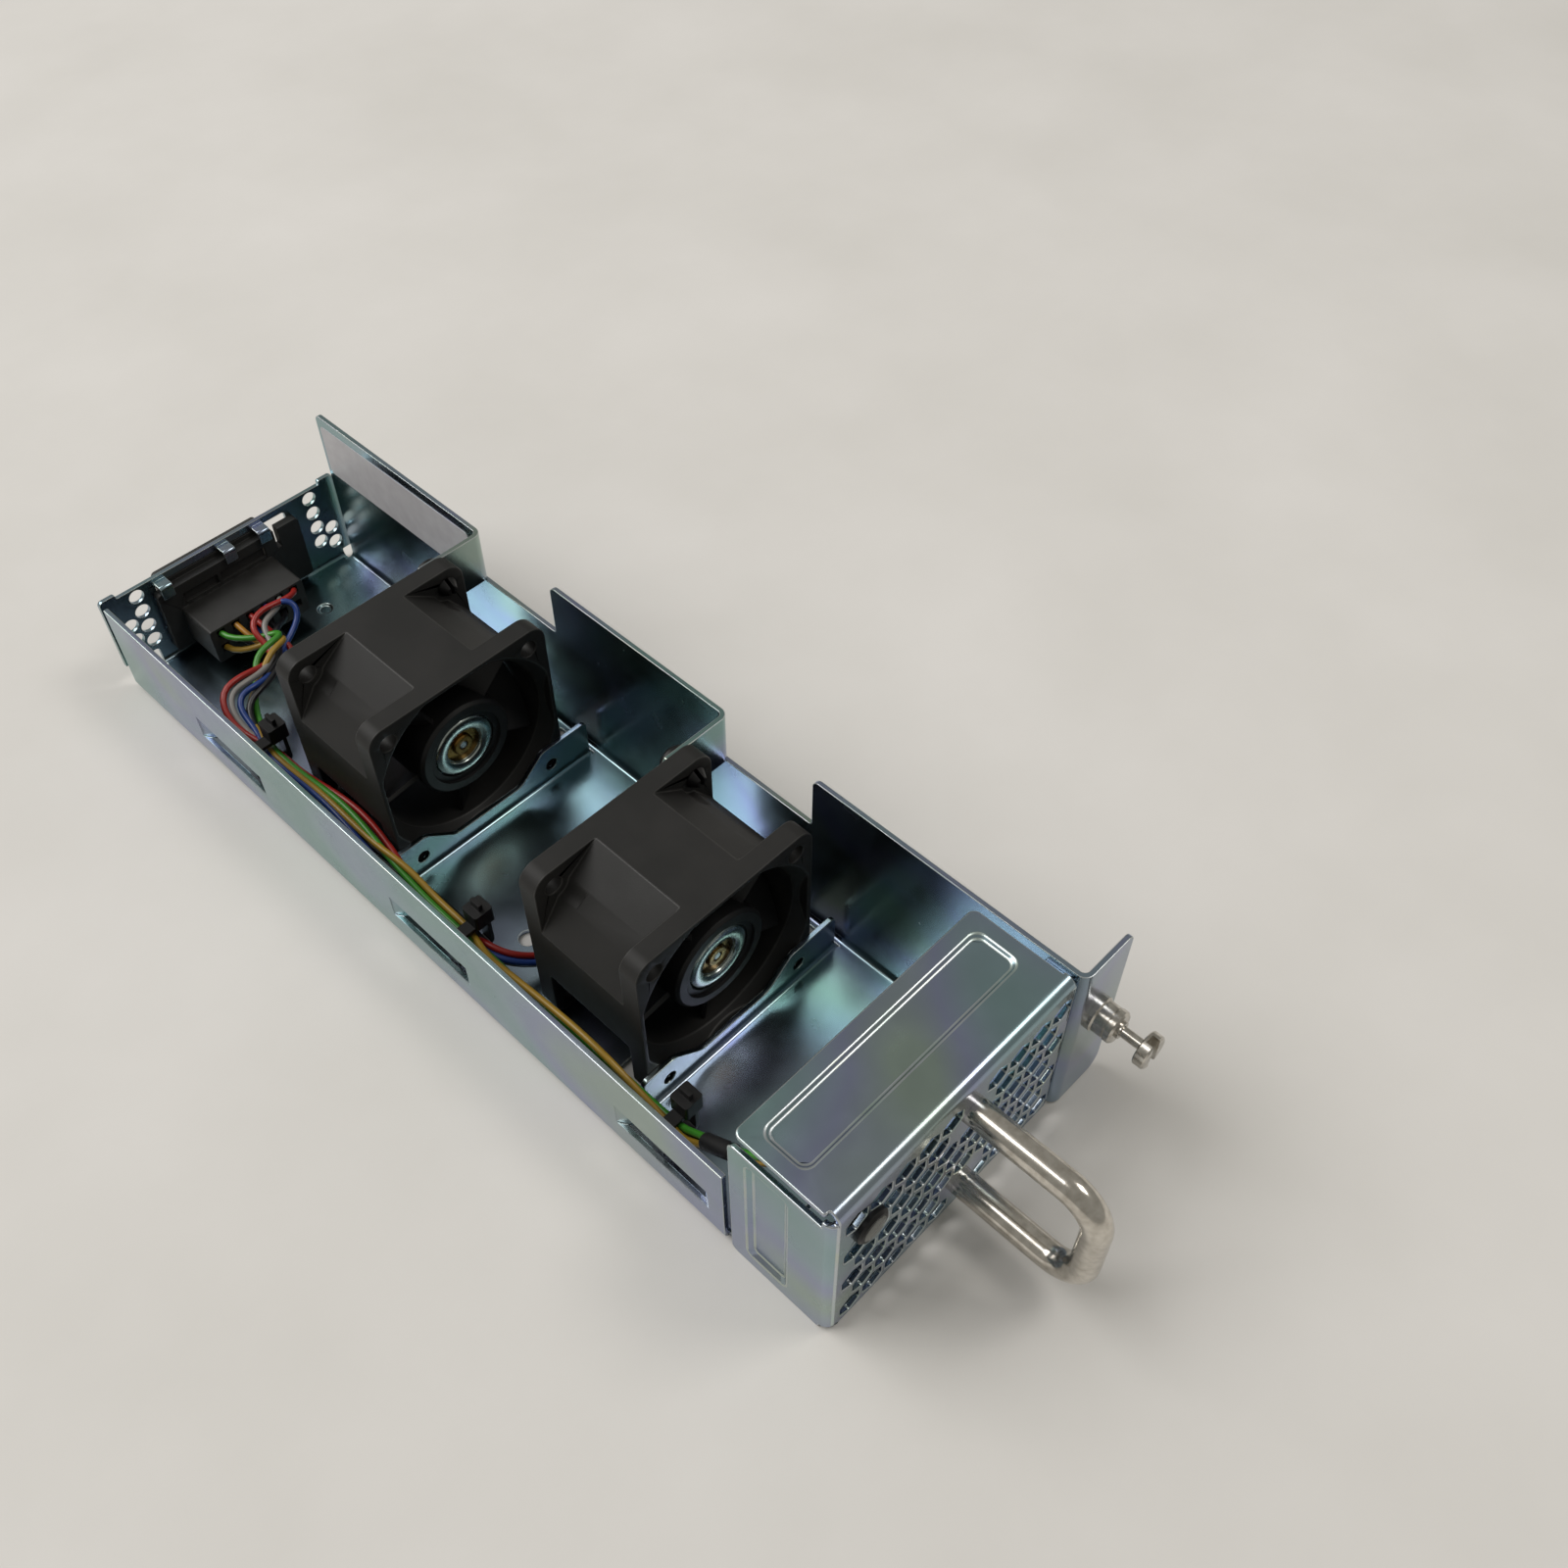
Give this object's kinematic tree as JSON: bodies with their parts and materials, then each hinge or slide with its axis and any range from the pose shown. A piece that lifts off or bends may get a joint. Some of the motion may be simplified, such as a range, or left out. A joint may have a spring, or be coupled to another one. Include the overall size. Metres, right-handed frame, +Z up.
{
  "type": "switch fan tray",
  "caption": "Folded sheet-metal fan tray for a rack switch: hexagon grille front with pull handle, captive screw ear, tube-axial fans in line, wiring and a blind-mate rear plug.",
  "frame": {"origin": "middle of the tray floor's underside", "axes": "+Y from the grille to the rear plug, +X towards the ear, +Z up"},
  "size_m": [0.0685, 0.2315, 0.041],
  "materials": {
    "zinc_sheet": "zinc-plated with a pale blue-green passivation",
    "nickel": "bright nickel plate",
    "spring_steel": "bright",
    "fan_frame_black": "moulded matte black",
    "impeller_black": "moulded satin black",
    "black_nylon": "moulded black nylon",
    "black_plug": "moulded satin black",
    "contact_gold": "gold flash",
    "clear_lens": "clear",
    "shrink_black": "matte",
    "wire_insulation": "coloured insulation",
    "yellow_green_wire": "coloured insulation",
    "yoke_steel": "zinc-plated",
    "magnet_ferrite": "sintered ferrite",
    "boss_brass": "turned",
    "coil_copper": "enamelled copper wire",
    "board_green": "solder mask"
  },
  "bodies": {
    "tray": {"cable_ties": "black_nylon", "connector_contacts": "contact_gold", "connector_housing": "black_plug", "fan_rivets": "black_nylon", "front_fan_ball_bearings": "spring_steel", "front_fan_housing": "fan_frame_black", "front_fan_leads": "wire_insulation", "front_fan_motor_board": "board_green", "front_fan_stator_coils": "coil_copper", "front_fan_stator_core": "yoke_steel", "front_panel": "zinc_sheet", "handle_screws": "nickel", "led": "clear_lens", "led_holder": "black_nylon", "pull_handle": "nickel", "rear_fan_ball_bearings": "spring_steel", "rear_fan_housing": "fan_frame_black", "rear_fan_leads": "wire_insulation", "rear_fan_motor_board": "board_green", "rear_fan_stator_coils": "coil_copper", "rear_fan_stator_core": "yoke_steel", "screw_ferrule": "nickel", "screw_retainer": "spring_steel", "screw_spring": "spring_steel", "shrink_sleeve": "shrink_black", "status_light_leads": "yellow_green_wire", "tray_chassis": "zinc_sheet", "wire_bundle": "wire_insulation"},
    "front_rotor": {"front_fan_impeller": "impeller_black", "front_fan_rotor_yoke": "yoke_steel", "front_fan_magnet_ring": "magnet_ferrite", "front_fan_rotor_boss": "boss_brass", "front_fan_rotor_shaft": "spring_steel"},
    "rear_rotor": {"rear_fan_impeller": "impeller_black", "rear_fan_rotor_yoke": "yoke_steel", "rear_fan_magnet_ring": "magnet_ferrite", "rear_fan_rotor_boss": "boss_brass", "rear_fan_rotor_shaft": "spring_steel"},
    "ring_slider": {"screw_snap_ring": "spring_steel"},
    "screw": {"captive_screw": "nickel", "screw_knob": "nickel"}
  },
  "joints": [
    {"name": "front_fan_spin", "type": "hinge", "parent": "tray", "child": "front_rotor", "pos_m": [0, -0.0375, 0.021], "axis": [0, 1, 0], "continuous": true},
    {"name": "rear_fan_spin", "type": "hinge", "parent": "tray", "child": "rear_rotor", "pos_m": [0, 0.0305, 0.021], "axis": [0, 1, 0], "continuous": true},
    {"name": "screw_push", "type": "slide", "parent": "tray", "child": "ring_slider", "axis": [0, 1, 0], "range_m": [0, 0.0031], "stiffness_N_per_m": 250, "springref_m": -0.003, "deforming": ["screw_spring"]},
    {"name": "screw_turn", "type": "hinge", "parent": "ring_slider", "child": "screw", "pos_m": [0.0337, -0.107, 0.0245], "axis": [0, 1, 0], "continuous": true}
  ]
}
